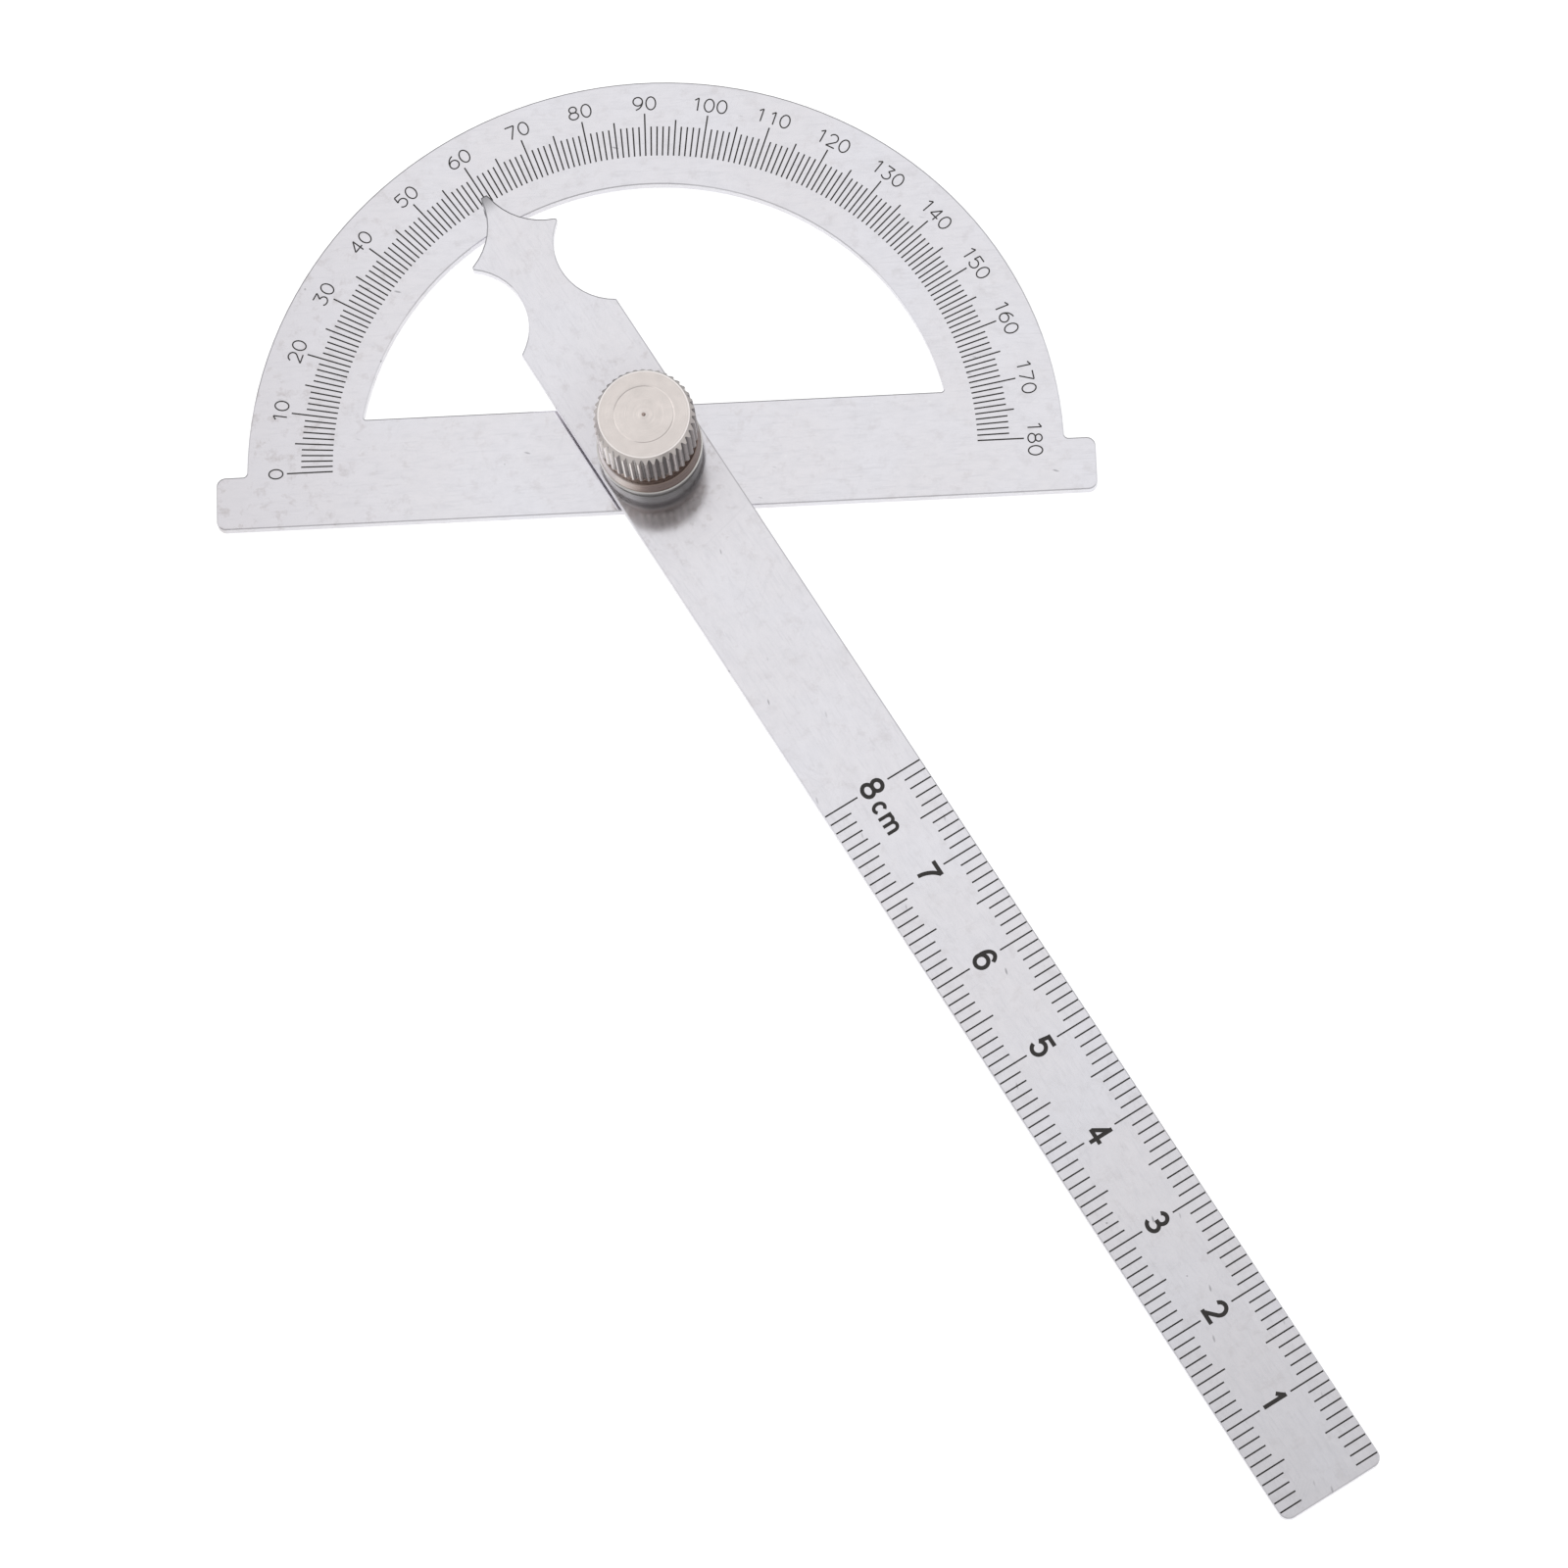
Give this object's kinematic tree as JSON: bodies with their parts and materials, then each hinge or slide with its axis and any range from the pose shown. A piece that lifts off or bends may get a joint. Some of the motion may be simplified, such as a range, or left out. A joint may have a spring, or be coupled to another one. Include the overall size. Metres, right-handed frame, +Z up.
{
  "type": "protractor",
  "caption": "Flat half-round steel protractor with a swinging ruler arm and pointer, locked at its centre by a knurled thumb nut.",
  "frame": {"origin": "the pivot centre, on the flat face that the plate lies on", "axes": "+Z up through the pivot to the thumb nut; +X along the base bar towards the 180 degree end; +Y towards the 90 degree mark"},
  "size_m": [0.1069, 0.1461, 0.0136],
  "materials": {
    "plate_steel": "satin, fine random scratches, black filled etched marks",
    "arm_steel": "satin, fine random scratches, black filled etched marks",
    "nut_nickel": "nickel plated, turned and knurled",
    "washer_steel": "bright plated",
    "mark_ink": "black etch filling",
    "stud_steel": "plain turned"
  },
  "bodies": {
    "plate": {"degree_plate": "plate_steel", "pivot_stud": "stud_steel", "arm_spacer": "washer_steel"},
    "arm": {"ruler_arm": "arm_steel", "flat_washer": "washer_steel", "lock_washer": "stud_steel"},
    "washer": {"nut_washer": "washer_steel"},
    "nut": {"thumb_nut": "nut_nickel"}
  },
  "joints": [
    {"name": "arm_swing", "type": "hinge", "parent": "plate", "child": "arm", "pos_m": [0, 0, 0.0025], "axis": [0, 0, 1], "continuous": true},
    {"name": "nut_lift", "type": "slide", "parent": "plate", "child": "washer", "axis": [0, 0, 1], "range_m": [0, 0.0049]},
    {"name": "nut_turn", "type": "hinge", "parent": "washer", "child": "nut", "pos_m": [0, 0, 0.0085], "axis": [0, 0, 1], "range_deg": [0, 2520]}
  ],
  "couplings": [
    {"joint": "nut_turn", "follows": "nut_lift", "rad_per_m": 8976}
  ]
}
